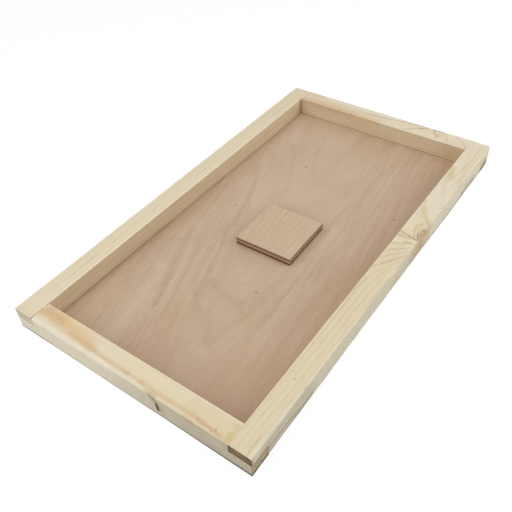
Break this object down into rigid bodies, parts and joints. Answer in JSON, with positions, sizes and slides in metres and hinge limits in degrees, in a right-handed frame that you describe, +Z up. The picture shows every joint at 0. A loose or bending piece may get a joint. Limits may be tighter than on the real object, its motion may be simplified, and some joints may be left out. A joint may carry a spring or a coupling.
{
  "type": "hive inner cover",
  "caption": "Shallow rectangular hive inner cover: half-lapped softwood rails round a plywood panel with a feed hole, and a loose square plywood cap over the hole.",
  "frame": {"origin": "middle of the cover's underside, on the plane that the rails rest on", "axes": "+Z up through the panel to the open side of the tray, +Y along the long rails to the rear short rail, +X to the right-hand long rail"},
  "size_m": [0.284, 0.505, 0.0265],
  "materials": {
    "rail_softwood": "planed, unfinished",
    "panel_face_ply": "sanded plywood face, unfinished",
    "core_ply": "sawn plywood core, unfinished",
    "cap_face_ply": "sanded plywood face, sawn edges",
    "nail_steel": "bright drawn wire"
  },
  "bodies": {
    "cover": {"long_rail_left": "rail_softwood", "long_rail_right": "rail_softwood", "short_rail_front": "rail_softwood", "short_rail_rear": "rail_softwood", "panel_face_veneer": "panel_face_ply", "panel_core_veneer": "core_ply", "panel_back_veneer": "panel_face_ply", "corner_nails_front_left": "nail_steel", "corner_nails_front_right": "nail_steel", "corner_nails_rear_left": "nail_steel", "corner_nails_rear_right": "nail_steel", "panel_staples_left": "nail_steel", "panel_staples_right": "nail_steel", "panel_staples_front": "nail_steel", "panel_staples_rear": "nail_steel"},
    "cap": {"cap_face_veneer": "cap_face_ply", "cap_core_veneer": "core_ply", "cap_back_veneer": "cap_face_ply"}
  },
  "joints": [
    {"name": "cap_lift", "type": "slide", "parent": "cover", "child": "cap", "axis": [0, 0, 1], "range_m": [0, 0.15]}
  ]
}
